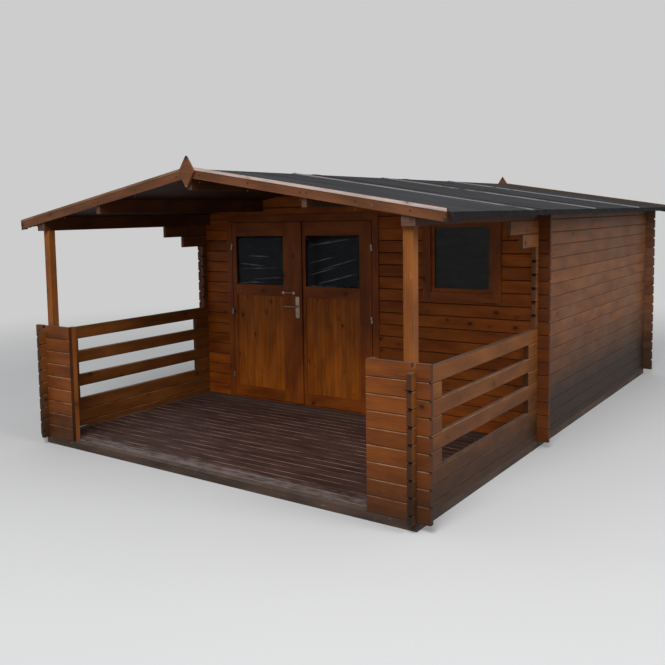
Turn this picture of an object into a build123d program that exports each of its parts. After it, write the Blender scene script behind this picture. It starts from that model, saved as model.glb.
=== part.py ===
"""Log garden shed with a roofed porch. Millimetres, +Z up, porch towards -Y, origin under the middle."""

import math
import os

from build123d import *

os.makedirs("parts", exist_ok=True)

# Logs
course = 112.0  # height that one log adds to a wall
log_t = 34.0  # thickness of a log
vee_depth = 5.0  # V joint between two logs, on both faces
vee_half = 6.0  # half height of the V
end_vee_depth = 15.0  # V between two log ends
end_vee_half = 13.0
log_end = 95.0  # front and back log past a side wall
side_end = 64.0  # side log past a cross wall
notch_clear = 0.3  # play across a crossing notch
cut_past = 20.0  # how far a cut runs past what it cuts

# Plan
house_w = 3650.0  # over the outer faces of the side walls
cabin_d = 3800.0  # over the outer faces of front and back wall
porch_d = 2206.0  # front of the piers to the front wall
pier_w = 355.0  # pier, from the outer face of the side wall to its free end
batten = 45.0  # square batten behind the free end of a pier
post = 70.0  # square post

# Heights, in courses above the sills
head_rise = 72.0  # top of the door leaf above the last full log of the front wall
pier_courses = 9
rail_courses = 8  # balustrade, on its half log
low_courses = 2  # closed logs at the foot of the balustrade
corbel_low = 365.0  # reach of the lower corbel log
corbel_high = 630.0  # reach of the upper corbel log
plate_h = 100.0  # wall plate over the last full side log
beam_w = 96.0  # eave beam over the posts

# Floor
sill_h = 60.0
sill_w = 60.0
front_sill_w = 72.0
joist_w = 45.0
joist_pitch = 500.0
floor_t = 20.0
floor_gap = 1.0

# Balustrade
front_block = 366.0  # front of the pier to the first opening
back_block = 215.0  # last opening to the front wall
sag_rise = 36.0  # lifted front foot of the left balustrade
sag_run = 600.0

# Roof
pitch = 10.0
eave_reach = 235.0
back_reach = 200.0
roof_t = 18.0
felt_t = 3.5
felt_drip = 30.0
felt_pitch = 1730.0
felt_overlap = 90.0
felt_laps = 2  # the last strip runs on to the back verge
verge_gap = 2.0
barge_t = 18.0
barge_h = 82.0
barge_over = 16.0
barge_short = 25.0  # end of a barge board to the eave
finial_h = 236.0
finial_w = 156.0
finial_t = 20.0
ridge_w = 44.0
ridge_h = 130.0
purlin_w = 40.0
purlin_h = 105.0
purlin_in = 806.0  # outer face of a side wall to the middle of the side purlin
slot_clear = 0.5

# Door
door_in = 416.0  # outer face of the left wall to the hinge edge of the left leaf
left_leaf_w = 893.0
right_leaf_w = 783.0
meet_gap = 8.0
side_gap = 7.0
foot_gap = 6.0
threshold_h = 15.0
leaf_h = 1846.0
leaf_t = 40.0
leaf_proud = 14.0
jamb_t = 28.0
jamb_d = 60.0
stop_w = 19.0
stop_gap = 1.0
casing_w = 65.0
casing_t = 14.0
left_stile = 51.0
left_lock_stile = 231.0
right_meet_stile = 35.0
right_stile = 130.0
top_rail = 137.0
pane_h = 506.0
lock_rail = 115.0
foot_rail = 115.0
rebate = 10.0
rebate_clear = 0.3
glass_t = 4.0
glass_set = 14.0
panel_set = 12.0
panel_t = 16.0
panel_board = 96.0
cover_w = 114.0
cover_t = 12.0

# Door fittings
hinge_r = 7.5
hinge_pin_r = 3.5
hinge_pin_clear = 0.1
hinge_pin_sides = 8  # drawn with flats, which keeps the model light
knuckle_h = 30.0
knuckle_gap = 0.3
hinge_out = 9.0  # pin in front of the face of the leaf
hinge_tang = 12.0
hinge_low = 222.0
hinge_high = 1594.0
plate_w = 45.0
plate_tall = 214.0
plate_t = 4.0
plate_from_edge = 51.0
plate_z = 1069.0
lever_z = 1078.0
lever_len = 128.0
lever_r = 8.0
lever_out = 46.0
lever_bend = 14.0
lever_clear = 0.3
bolt_z = 1214.0
bolt_len = 165.0
bolt_r = 6.0
bolt_from_edge = 76.0
bolt_block = 22.0
bolt_block_h = 26.0

# Window
window_in = 668.0  # outer face of the right wall to the middle of the pane
window_foot = 1317.0
window_w = 500.0
window_h = 540.0
sash_w = 35.0
sash_t = 36.0
sash_in = 4.0
sash_gap = 8.0
window_casing = 75.0

# What follows from the sizes
half_w = house_w / 2
slope = math.tan(math.radians(pitch))
front_past = max(side_end, verge_gap + barge_t + finial_t)
back_past = max(side_end, back_reach + finial_t)
y_front = (front_past - porch_d - cabin_d - back_past) / 2
y_wall = y_front + porch_d
y_back = y_wall + cabin_d
y_end = y_back + back_reach
z0 = sill_h
wall_courses = round((threshold_h + foot_gap + leaf_h - head_rise) / course)
wall_top = z0 + wall_courses * course
plate_z0 = wall_top + course / 2
plate_top = plate_z0 + plate_h
roof_v = roof_t / math.cos(math.radians(pitch))
felt_v = felt_t / math.cos(math.radians(pitch))
eave_x = half_w + eave_reach
rail_top = z0 + (rail_courses + 0.5) * course
pier_top = z0 + pier_courses * course
barge_front = y_front - verge_gap - barge_t
purlin_x = half_w - purlin_in
window_x = half_w - window_in
door_left = -half_w + door_in
left_x1 = door_left + left_leaf_w
right_x0 = left_x1 + meet_gap
door_right = right_x0 + right_leaf_w
roof_y0 = y_front - verge_gap
roof_y1 = y_end - barge_t


def under(x):
    """Height of the underside of the roof boards."""
    return plate_top + (half_w - abs(x)) * slope


def ring_box(x0, x1, y0, y1, z0_, z1):
    """Box between two corners."""
    return Pos((x0 + x1) / 2, (y0 + y1) / 2, (z0_ + z1) / 2) * Box(
        x1 - x0, y1 - y0, z1 - z0_, mode=Mode.PRIVATE)


def log_section(z_low, z_high, first, vee_faces):
    """Section of a stack of logs, with a V at each joint on face 0, on face 1 or on both."""
    joints = []
    z = first
    while z < z_high - vee_half:
        if z > z_low + vee_half:
            joints.append(z)
        z += course
    points = [(0, z_low)]
    for z in joints if 0 in vee_faces else []:
        points += [(0, z - vee_half), (vee_depth, z), (0, z + vee_half)]
    points += [(0, z_high), (log_t, z_high)]
    for z in reversed(joints) if 1 in vee_faces else []:
        points += [(log_t, z + vee_half), (log_t - vee_depth, z), (log_t, z - vee_half)]
    points.append((log_t, z_low))
    return points


def cross_wall(x0, x1, y, z_low, z_high, vee_faces=(0, 1)):
    """Logs that lie along X, front face at y, joints at whole courses."""
    with BuildPart() as wall:
        with BuildSketch(Plane(origin=(x0, y, 0), x_dir=(0, 1, 0), z_dir=(1, 0, 0))):
            with BuildLine():
                Polyline(*log_section(z_low, z_high, z0 + course, vee_faces), close=True)
            make_face()
        extrude(amount=x1 - x0)
    return wall.part


def side_wall(x, y0, y1, z_low, z_high, vee_faces=(0, 1)):
    """Logs that lie along Y, inner face at x, joints at half courses."""
    with BuildPart() as wall:
        with BuildSketch(Plane(origin=(x, y1, 0), x_dir=(1, 0, 0), z_dir=(0, -1, 0))):
            with BuildLine():
                Polyline(*log_section(z_low, z_high, z0 + course / 2, vee_faces), close=True)
            make_face()
        extrude(amount=y1 - y0)
    return wall.part


def end_vees(at, out, low, first, z_low, z_high, along):
    """V cuts that round off the ends of stacked logs; out is the side on which the ends point."""
    cuts = []
    z = first
    while z < z_high - end_vee_half:
        if z > z_low + end_vee_half:
            points = [(at + out, z + end_vee_half), (at - out * end_vee_depth, z), (at + out, z - end_vee_half)]
            run = profile_along_y if along == "X" else profile_along_x
            cuts.append(run(points, low - 1, low + log_t + 1))
        z += course
    return cuts


def notches(x, y, z_low, z_high, phase):
    """Half-lap notches for the logs of the crossing wall, whose corner is at x, y."""
    cut = []
    z = z0 + phase * course
    while z - course / 4 < z_high:
        low, high = max(z - course / 4, z_low), min(z + course / 4, z_high)
        if high > low:
            cut.append(ring_box(x - notch_clear, x + log_t + notch_clear,
                                y - notch_clear, y + log_t + notch_clear, low, high))
        z += course
    return cut


def above_roof():
    """Everything above the underside of the roof boards."""
    far, high = eave_x + cut_past, under(0) + 2 * cut_past
    points = [(-far, under(far)), (0, under(0)), (far, under(far)),
              (far, high), (-far, high)]
    with BuildPart() as space:
        with BuildSketch(Plane(origin=(0, y_end + cut_past, 0), x_dir=(1, 0, 0), z_dir=(0, -1, 0))):
            with BuildLine():
                Polyline(*points, close=True)
            make_face()
        extrude(amount=y_end - y_front + side_end + 2 * cut_past)
    return space.part


def profile_along_y(points, y0, y1):
    """Outline in X and Z, run from y0 to y1."""
    with BuildPart() as run:
        with BuildSketch(Plane(origin=(0, y1, 0), x_dir=(1, 0, 0), z_dir=(0, -1, 0))):
            with BuildLine():
                Polyline(*points, close=True)
            make_face()
        extrude(amount=y1 - y0)
    return run.part


def profile_along_x(points, x0, x1):
    """Outline in Y and Z, run from x0 to x1."""
    with BuildPart() as run:
        with BuildSketch(Plane(origin=(x0, 0, 0), x_dir=(0, 1, 0), z_dir=(1, 0, 0))):
            with BuildLine():
                Polyline(*points, close=True)
            make_face()
        extrude(amount=x1 - x0)
    return run.part


def frame_ring(outer, inner, y0, y1):
    """Rectangular ring in X and Z: outer and inner are (x0, x1, z0, z1)."""
    ring = ring_box(outer[0], outer[1], y0, y1, outer[2], outer[3])
    return ring - ring_box(inner[0], inner[1], y0 - 1, y1 + 1, inner[2], inner[3])


roof_space = above_roof()

# Floor
with BuildPart() as floor_frame:
    for side in (-1, 1):
        x0 = side * half_w
        add(ring_box(min(x0, x0 - side * sill_w), max(x0, x0 - side * sill_w), y_front, y_back, 0, sill_h))
    for y0, y1 in ((y_front, y_front + front_sill_w), (y_wall, y_wall + sill_w), (y_back - sill_w, y_back)):
        add(ring_box(-half_w, half_w, y0, y1, 0, sill_h))
    bays = int((house_w - 2 * sill_w) // joist_pitch)
    for i in range(bays):
        x = (i - (bays - 1) / 2) * joist_pitch
        add(ring_box(x - joist_w / 2, x + joist_w / 2, y_front, y_back, 0, sill_h - floor_t))
floor_frame.part.label = "floor_frame"

with BuildPart() as deck_boards:
    add(ring_box(-half_w + sill_w + floor_gap, half_w - sill_w - floor_gap,
                 y_front + front_sill_w + floor_gap, y_wall - floor_gap, z0 - floor_t, z0))
deck_boards.part.label = "deck_boards"

with BuildPart() as cabin_floor:
    add(ring_box(-half_w + sill_w + floor_gap, half_w - sill_w - floor_gap,
                 y_wall + sill_w + floor_gap, y_back - sill_w - floor_gap, z0 - floor_t, z0))
cabin_floor.part.label = "cabin_floor"

# Walls
leaf_foot = z0 + threshold_h + foot_gap
leaf_top = leaf_foot + leaf_h
frame_x0 = door_left - side_gap
frame_x1 = door_right + side_gap
frame_top = leaf_top + side_gap
open_x0 = frame_x0 - jamb_t
open_x1 = frame_x1 + jamb_t
open_top = frame_top + jamb_t
pane_out = sash_w + sash_gap
win = (window_x - window_w / 2, window_x + window_w / 2, window_foot, window_foot + window_h)
win_open = (win[0] - pane_out, win[1] + pane_out, win[2] - pane_out, win[3] + pane_out)
window_hole = ring_box(win_open[0], win_open[1], y_wall - cut_past, y_wall + log_t + cut_past,
                       win_open[2], win_open[3])
door_hole = ring_box(open_x0, open_x1, y_wall - cut_past, y_wall + log_t + cut_past, z0 - cut_past, open_top)

with BuildPart() as front_wall_left:
    add(cross_wall(-half_w - log_end, open_x0, y_wall, z0, wall_top, (0,)))
    add(notches(-half_w, y_wall, z0, wall_top, 0), mode=Mode.SUBTRACT)
    add(end_vees(-half_w - log_end, -1, y_wall, z0, z0, wall_top, "X"), mode=Mode.SUBTRACT)
front_wall_left.part.label = "front_wall_left"

with BuildPart() as front_wall_right:
    add(cross_wall(open_x1, half_w + log_end, y_wall, z0, wall_top, (0,)))
    add(notches(half_w - log_t, y_wall, z0, wall_top, 0), mode=Mode.SUBTRACT)
    add(end_vees(half_w + log_end, 1, y_wall, z0, z0, wall_top, "X"), mode=Mode.SUBTRACT)
    add(window_hole, mode=Mode.SUBTRACT)
front_wall_right.part.label = "front_wall_right"


def purlin_slots(y):
    """Slots for ridge and side purlins in a gable whose front face is at y."""
    slots = [ring_box(-ridge_w / 2 - slot_clear, ridge_w / 2 + slot_clear, y - cut_past, y + log_t + cut_past,
                      under(ridge_w / 2) - ridge_h, under(0) + cut_past)]
    for side in (-1, 1):
        x = side * purlin_x
        slots.append(ring_box(x - purlin_w / 2 - slot_clear, x + purlin_w / 2 + slot_clear,
                              y - cut_past, y + log_t + cut_past,
                              under(abs(x) + purlin_w / 2) - purlin_h, under(x) + cut_past))
    return slots


def gable_wall(y, z_low):
    """Cross wall from z_low up to the roof, with front face at y."""
    with BuildPart() as wall:
        add(cross_wall(-half_w - log_end, half_w + log_end, y, z_low, under(0) + cut_past,
                       (0,) if y == y_wall else (1,)))
        for x in (-half_w, half_w - log_t):
            add(notches(x, y, z_low, under(0) + cut_past, 0), mode=Mode.SUBTRACT)
        for side in (-1, 1):
            add(end_vees(side * (half_w + log_end), side, y, z0, z_low, under(half_w + log_end), "X"),
                mode=Mode.SUBTRACT)
        add(roof_space, mode=Mode.SUBTRACT)
        add(purlin_slots(y), mode=Mode.SUBTRACT)
    return wall.part


with BuildPart() as front_gable:
    add(gable_wall(y_wall, wall_top))
    add(window_hole, mode=Mode.SUBTRACT)
    add(door_hole, mode=Mode.SUBTRACT)
front_gable.part.label = "front_gable"

with BuildPart() as back_wall:
    add(gable_wall(y_back - log_t, z0))
back_wall.part.label = "back_wall"

with BuildPart() as right_wall:
    add(side_wall(half_w - log_t, y_wall - corbel_high, y_back + side_end, z0, plate_top + cut_past, (1,)))
    # the inner face has its joints where it shows, forward of the front wall
    z = z0 + course / 2
    while z < plate_z0 - vee_half:
        if z > rail_top + vee_half:
            add(profile_along_y([(half_w - log_t - 1, z - vee_half), (half_w - log_t, z - vee_half),
                                 (half_w - log_t + vee_depth, z), (half_w - log_t, z + vee_half),
                                 (half_w - log_t - 1, z + vee_half)], y_wall - corbel_high - 1, y_wall),
                mode=Mode.SUBTRACT)
        z += course
    # forward of the front wall only log ends and corbels stay
    corbel_z = plate_z0 - 2 * course
    for reach, low, high in ((0, z0, rail_top), (side_end, rail_top, corbel_z),
                             (corbel_low, corbel_z, corbel_z + course), (0, plate_z0, plate_top + 2 * cut_past)):
        add(ring_box(half_w - log_t - cut_past, half_w + cut_past, y_wall - corbel_high - cut_past,
                     y_wall - reach, low, high), mode=Mode.SUBTRACT)
    for y in (y_wall, y_back - log_t):
        add(notches(half_w - log_t, y, z0, plate_top + cut_past, 0.5), mode=Mode.SUBTRACT)
    add(end_vees(y_back + side_end, 1, half_w - log_t, z0 + course / 2, z0, plate_z0 + end_vee_half + 1, "Y"),
        mode=Mode.SUBTRACT)
    add(end_vees(y_wall - side_end, -1, half_w - log_t, z0 + course / 2, rail_top, corbel_z, "Y"),
        mode=Mode.SUBTRACT)
    add(roof_space, mode=Mode.SUBTRACT)
right_wall.part.label = "right_wall"

with BuildPart() as left_wall:
    add(mirror(right_wall.part, about=Plane.YZ))
left_wall.part.label = "left_wall"

# Porch
gap_y = (y_front + front_block, y_wall - back_block)

with BuildPart() as right_balustrade:
    add(side_wall(half_w - log_t, y_front - side_end, y_wall, z0, rail_top))
    for i in range(3):
        low = z0 + (low_courses + 0.5 + 2 * i) * course
        add(ring_box(half_w - log_t - cut_past, half_w + cut_past, gap_y[0], gap_y[1], low, low + course),
            mode=Mode.SUBTRACT)
    add(notches(half_w - log_t, y_front, z0, rail_top, 0.5), mode=Mode.SUBTRACT)
    add(end_vees(y_front - side_end, -1, half_w - log_t, z0 + course / 2, z0, rail_top, "Y"), mode=Mode.SUBTRACT)
right_balustrade.part.label = "right_balustrade"

with BuildPart() as left_balustrade:
    add(mirror(right_balustrade.part, about=Plane.YZ))
    # its foot is warped upwards at the front
    with BuildSketch(Plane(origin=(-half_w - cut_past, 0, 0), x_dir=(0, 1, 0), z_dir=(1, 0, 0))):
        with BuildLine():
            Polyline((y_front + log_t, z0 - 1), (y_front + log_t + sag_run, z0 - 1),
                     (y_front + log_t, z0 + sag_rise), close=True)
        make_face()
    extrude(amount=log_t + 2 * cut_past, mode=Mode.SUBTRACT)
left_balustrade.part.label = "left_balustrade"

with BuildPart() as right_pier:
    add(cross_wall(half_w - pier_w, half_w + log_end, y_front, z0, pier_top))
    add(notches(half_w - log_t, y_front, z0, pier_top, 0), mode=Mode.SUBTRACT)
    add(end_vees(half_w + log_end, 1, y_front, z0, z0, pier_top, "X"), mode=Mode.SUBTRACT)
right_pier.part.label = "right_pier"

with BuildPart() as left_pier:
    add(mirror(right_pier.part, about=Plane.YZ))
left_pier.part.label = "left_pier"

with BuildPart() as right_batten:
    add(ring_box(half_w - pier_w, half_w - pier_w + batten, y_front + log_t, y_front + log_t + batten,
                 z0, pier_top))
right_batten.part.label = "right_batten"

with BuildPart() as left_batten:
    add(mirror(right_batten.part, about=Plane.YZ))
left_batten.part.label = "left_batten"

post_x = half_w - log_t - post / 2
post_y = y_front + log_t + post / 2

with BuildPart() as right_post:
    with BuildSketch(Plane.XY.offset(z0)):
        with Locations((post_x, post_y)):
            Rectangle(post, post)
    extrude(amount=plate_z0 - z0)
    chamfer(right_post.edges().filter_by(Axis.Z), length=3)
right_post.part.label = "right_post"

with BuildPart() as left_post:
    add(mirror(right_post.part, about=Plane.YZ))
left_post.part.label = "left_post"

with BuildPart() as right_eave_beam:
    add(ring_box(half_w - beam_w, half_w, roof_y0, y_wall, plate_z0, under(half_w - beam_w) + cut_past))
    add(roof_space, mode=Mode.SUBTRACT)
right_eave_beam.part.label = "right_eave_beam"

with BuildPart() as left_eave_beam:
    add(mirror(right_eave_beam.part, about=Plane.YZ))
left_eave_beam.part.label = "left_eave_beam"

# Roof
with BuildPart() as ridge_purlin:
    add(ring_box(-ridge_w / 2, ridge_w / 2, roof_y0, roof_y1, under(ridge_w / 2) - ridge_h, under(0) + cut_past))
    add(roof_space, mode=Mode.SUBTRACT)
ridge_purlin.part.label = "ridge_purlin"

with BuildPart() as right_purlin:
    add(ring_box(purlin_x - purlin_w / 2, purlin_x + purlin_w / 2, roof_y0, roof_y1,
                 under(purlin_x + purlin_w / 2) - purlin_h, under(purlin_x) + cut_past))
    add(roof_space, mode=Mode.SUBTRACT)
right_purlin.part.label = "right_purlin"

with BuildPart() as left_purlin:
    add(mirror(right_purlin.part, about=Plane.YZ))
left_purlin.part.label = "left_purlin"

with BuildPart() as right_roof_boards:
    add(profile_along_y([(0, under(0)), (eave_x, under(eave_x)), (eave_x, under(eave_x) + roof_v),
                         (0, under(0) + roof_v)], roof_y0, roof_y1))
right_roof_boards.part.label = "right_roof_boards"

with BuildPart() as left_roof_boards:
    add(mirror(right_roof_boards.part, about=Plane.YZ))
left_roof_boards.part.label = "left_roof_boards"


def felt_outline(lift):
    """Felt on one slope, turned down over the eave."""
    x0, x1 = eave_x, eave_x + felt_t
    low = under(eave_x) + roof_v
    return [(0, under(0) + roof_v), (x0, low), (x0, low - felt_drip), (x1 + lift, low - felt_drip),
            (x1 + lift, low + felt_v - felt_t * slope + lift), (0, under(0) + roof_v + felt_v + lift)]


with BuildPart() as right_felt:
    add(profile_along_y(felt_outline(0), roof_y0, roof_y1))
    for i in range(felt_laps):
        y = roof_y0 + (i + 1) * felt_pitch
        add(profile_along_y(felt_outline(felt_t), y - felt_overlap, y))
right_felt.part.label = "right_felt"

with BuildPart() as left_felt:
    add(mirror(right_felt.part, about=Plane.YZ))
left_felt.part.label = "left_felt"

barge_x = eave_x - barge_short
barge_rise = roof_v + felt_v + barge_over
barge_outline = [(0, under(0) + barge_rise - barge_h), (barge_x, under(barge_x) + barge_rise - barge_h),
                 (barge_x, under(barge_x) + barge_rise), (0, under(0) + barge_rise)]

with BuildPart() as front_barge_right:
    add(profile_along_y(barge_outline, barge_front, roof_y0))
front_barge_right.part.label = "front_barge_right"

with BuildPart() as front_barge_left:
    add(mirror(front_barge_right.part, about=Plane.YZ))
front_barge_left.part.label = "front_barge_left"

with BuildPart() as back_barge_right:
    add(profile_along_y(barge_outline, roof_y1, y_end))
back_barge_right.part.label = "back_barge_right"

with BuildPart() as back_barge_left:
    add(mirror(back_barge_right.part, about=Plane.YZ))
back_barge_left.part.label = "back_barge_left"

finial_z = under(0) + barge_rise - barge_h / 2


def diamond(y0, y1):
    points = [(0, finial_z - finial_h / 2), (finial_w / 2, finial_z), (0, finial_z + finial_h / 2),
              (-finial_w / 2, finial_z)]
    return profile_along_y(points, y0, y1)


with BuildPart() as front_finial:
    add(diamond(barge_front - finial_t, barge_front))
front_finial.part.label = "front_finial"

with BuildPart() as back_finial:
    add(diamond(y_end, y_end + finial_t))
back_finial.part.label = "back_finial"

# Door
leaf_y0 = y_wall - leaf_proud
leaf_y1 = leaf_y0 + leaf_t
hinge_y = leaf_y0 - hinge_out
hinge_zs = (leaf_foot + hinge_low, leaf_foot + (hinge_low + hinge_high) / 2, leaf_foot + hinge_high)
hinge_xl = door_left - side_gap / 2
hinge_xr = door_right + side_gap / 2


def drum(x, y, z_low, z_high, radius):
    """Upright cylinder."""
    return Pos(x, y, (z_low + z_high) / 2) * Cylinder(radius, z_high - z_low, mode=Mode.PRIVATE)


def pin(x, y, z_low, z_high, radius):
    """Upright pin with flats, drawn through its corners."""
    with BuildPart() as made:
        with BuildSketch(Plane.XY.offset(z_low)):
            with Locations((x, y)):
                RegularPolygon(radius, hinge_pin_sides)
        extrude(amount=z_high - z_low)
    return made.part


def tang(x, side, z_low, z_high):
    """Flat that carries a hinge knuckle, let into the timber on one side of the pin."""
    return ring_box(min(x, x + side * hinge_tang), max(x, x + side * hinge_tang),
                    hinge_y - hinge_pin_r, leaf_y0 + casing_t / 2, z_low, z_high)


with BuildPart() as door_frame:
    add(frame_ring((open_x0, open_x1, z0, open_top), (frame_x0, frame_x1, z0 + threshold_h, frame_top),
                   y_wall, y_wall + jamb_d))
    # stops behind the leaves
    add(frame_ring((frame_x0 - 5, frame_x1 + 5, z0, frame_top + 5),
                   (frame_x0 + stop_w, frame_x1 - stop_w, z0 - 5, frame_top - stop_w),
                   leaf_y1 + stop_gap, y_wall + jamb_d))
    # casing on the face of the wall, on three sides
    add(frame_ring((frame_x0 - casing_w, frame_x1 + casing_w, z0, frame_top + casing_w),
                   (frame_x0, frame_x1, z0 - 5, frame_top), y_wall - casing_t, y_wall))
    for x, side in ((hinge_xl, -1), (hinge_xr, 1)):
        for z in hinge_zs:
            add(drum(x, hinge_y, z - knuckle_h, z, hinge_r))
            add(pin(x, hinge_y, z - 1, z + knuckle_h - 4, hinge_pin_r))
            add(tang(x, side, z - knuckle_h, z - 6))
door_frame.part.label = "door_frame"


def leaf(x0, x1, glass_x0, glass_x1, hinge_x, side):
    """Stiles and rails, rebated from behind for pane and boards, with its hinge knuckles."""
    pane = (glass_x0, glass_x1, leaf_top - top_rail - pane_h, leaf_top - top_rail)
    field = (glass_x0, glass_x1, leaf_foot + foot_rail, pane[2] - lock_rail)
    with BuildPart() as frame:
        add(ring_box(x0, x1, leaf_y0, leaf_y1, leaf_foot, leaf_top))
        for hole, depth in ((pane, glass_set), (field, panel_set)):
            add(ring_box(hole[0], hole[1], leaf_y0 - 5, leaf_y1 + 5, hole[2], hole[3]), mode=Mode.SUBTRACT)
            add(ring_box(hole[0] - rebate, hole[1] + rebate, leaf_y0 + depth, leaf_y1 + 5,
                         hole[2] - rebate, hole[3] + rebate), mode=Mode.SUBTRACT)
        for z in hinge_zs:
            add(drum(hinge_x, hinge_y, z + knuckle_gap, z + knuckle_h, hinge_r))
            add(tang(hinge_x, -side, z + 6, z + knuckle_h))
            # its flats clear the corners of the pin all round
            add(pin(hinge_x, hinge_y, z - 1, z + knuckle_h - 3,
                    (hinge_pin_r + hinge_pin_clear) / math.cos(math.pi / hinge_pin_sides)), mode=Mode.SUBTRACT)
    return frame.part, pane, field


def boards(field):
    """Upright boards with a V between them."""
    x0, x1 = field[0] - rebate + rebate_clear, field[1] + rebate - rebate_clear
    y0 = leaf_y0 + panel_set
    points = [(x0, y0)]
    count = int((field[1] - field[0]) // panel_board)
    mid = (field[0] + field[1]) / 2
    for i in range(count):
        x = mid + (i - (count - 1) / 2) * panel_board
        points += [(x - 4, y0), (x, y0 + 4), (x + 4, y0)]
    points += [(x1, y0), (x1, y0 + panel_t), (x0, y0 + panel_t)]
    with BuildPart() as panel:
        with BuildSketch(Plane.XY.offset(field[2] - rebate + rebate_clear)):
            with BuildLine():
                Polyline(*points, close=True)
            make_face()
        extrude(amount=field[3] - field[2] + 2 * (rebate - rebate_clear))
    return panel.part


def pane_box(pane, y0, thick):
    """Sheet that lies in the rebate of a pane."""
    edge = rebate - rebate_clear
    return ring_box(pane[0] - edge, pane[1] + edge, y0, y0 + thick, pane[2] - edge, pane[3] + edge)


with BuildPart() as left_door_frame:
    left_leaf, left_pane, left_field = leaf(door_left, left_x1, door_left + left_stile,
                                            left_x1 - left_lock_stile, hinge_xl, -1)
    add(left_leaf)
    add(ring_box(left_x1 - cover_w, left_x1, leaf_y0 - cover_t, leaf_y0, leaf_foot, leaf_top))
left_door_frame.part.label = "left_door_frame"

with BuildPart() as right_door_frame:
    right_leaf, right_pane, right_field = leaf(right_x0, door_right, right_x0 + right_meet_stile,
                                               door_right - right_stile, hinge_xr, 1)
    add(right_leaf)
right_door_frame.part.label = "right_door_frame"

with BuildPart() as left_door_boards:
    add(boards(left_field))
left_door_boards.part.label = "left_door_boards"

with BuildPart() as right_door_boards:
    add(boards(right_field))
right_door_boards.part.label = "right_door_boards"

with BuildPart() as left_door_glass:
    add(pane_box(left_pane, leaf_y0 + glass_set, glass_t))
left_door_glass.part.label = "left_door_glass"

with BuildPart() as right_door_glass:
    add(pane_box(right_pane, leaf_y0 + glass_set, glass_t))
right_door_glass.part.label = "right_door_glass"

# Door fittings
plate_x = left_x1 - plate_from_edge
fit_y = leaf_y0 - cover_t


def rod_y(x, z, y0, y1, radius):
    """Cylinder along Y."""
    return Pos(x, (y0 + y1) / 2, z) * Rot(90, 0, 0) * Cylinder(radius, y1 - y0, mode=Mode.PRIVATE)


def rod_x(x0, x1, y, z, radius):
    """Cylinder along X."""
    return Pos((x0 + x1) / 2, y, z) * Rot(0, 90, 0) * Cylinder(radius, x1 - x0, mode=Mode.PRIVATE)


with BuildPart() as door_plate:
    with BuildSketch(Plane(origin=(plate_x, fit_y, plate_z), x_dir=(1, 0, 0), z_dir=(0, -1, 0))):
        Rectangle(plate_w, plate_tall)
        with Locations((0, lever_z - plate_z)):
            Circle(lever_r + lever_clear, mode=Mode.SUBTRACT)
        with Locations((0, lever_z - plate_z - 72)):
            Rectangle(8, 20, mode=Mode.SUBTRACT)
    extrude(amount=plate_t)
door_plate.part.label = "door_plate"

with BuildPart() as door_lever:
    lever_y = fit_y - lever_out
    with BuildLine():
        Polyline((plate_x, fit_y - lever_clear, lever_z), (plate_x, lever_y + lever_bend, lever_z),
                 (plate_x - lever_bend, lever_y, lever_z), (plate_x - lever_len, lever_y, lever_z))
    with BuildSketch(Plane(origin=(plate_x, fit_y - lever_clear, lever_z), z_dir=(0, -1, 0))):
        Circle(lever_r)
    sweep(transition=Transition.RIGHT)
door_lever.part.label = "door_lever"

with BuildPart() as door_bolt:
    bolt_x1 = left_x1 - bolt_from_edge
    bolt_y = fit_y - bolt_r - 2
    add(rod_x(bolt_x1 - bolt_len, bolt_x1, bolt_y, bolt_z, bolt_r))
    # the left keeper stands on the leaf, the right one on the cover strip
    add(ring_box(bolt_x1 - bolt_len + 14, bolt_x1 - bolt_len + 14 + bolt_block, bolt_y - bolt_r - 2, leaf_y0,
                 bolt_z - bolt_block_h / 2, bolt_z + bolt_block_h / 2))
    add(ring_box(bolt_x1 - bolt_block, bolt_x1, bolt_y - bolt_r - 2, fit_y,
                 bolt_z - bolt_block_h / 2, bolt_z + bolt_block_h / 2))
door_bolt.part.label = "door_bolt"

# Window
sash_out = (win[0] - sash_w, win[1] + sash_w, win[2] - sash_w, win[3] + sash_w)
window_rebate = (win[0] - rebate, win[1] + rebate, win[2] - rebate, win[3] + rebate)
sash_y = y_wall + sash_in

with BuildPart() as window_frame:
    add(frame_ring(win_open, sash_out, y_wall, y_wall + jamb_d))
    add(frame_ring((sash_out[0] - 1, sash_out[1] + 1, sash_out[2] - 1, sash_out[3] + 1), win,
                   sash_y, sash_y + sash_t))
    add(ring_box(window_rebate[0], window_rebate[1], sash_y + glass_set, sash_y + sash_t + 5,
                 window_rebate[2], window_rebate[3]), mode=Mode.SUBTRACT)
    add(frame_ring((sash_out[0] - window_casing, sash_out[1] + window_casing,
                    sash_out[2] - window_casing, sash_out[3] + window_casing),
                   sash_out, y_wall - casing_t, y_wall))
window_frame.part.label = "window_frame"

with BuildPart() as window_glass:
    add(pane_box(win, sash_y + glass_set, glass_t))
window_glass.part.label = "window_glass"

pieces = [floor_frame, deck_boards, cabin_floor, front_wall_left, front_wall_right, front_gable, back_wall,
          left_wall, right_wall, left_balustrade, right_balustrade, left_pier, right_pier,
          left_batten, right_batten, left_post, right_post,
          left_eave_beam, right_eave_beam, ridge_purlin, left_purlin, right_purlin, left_roof_boards,
          right_roof_boards, left_felt, right_felt, front_barge_left, front_barge_right, back_barge_left,
          back_barge_right, front_finial, back_finial, door_frame, left_door_frame, right_door_frame,
          left_door_boards, right_door_boards, left_door_glass, right_door_glass,
          door_plate, door_lever, door_bolt, window_frame, window_glass]
for piece in pieces:
    export_step(piece.part, "parts/" + piece.part.label + ".step")
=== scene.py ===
"""Garden shed with a roofed porch: stained log walls, felt roof, boarded double door."""
import math
import random

import bpy
from mathutils import Matrix, Vector


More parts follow.
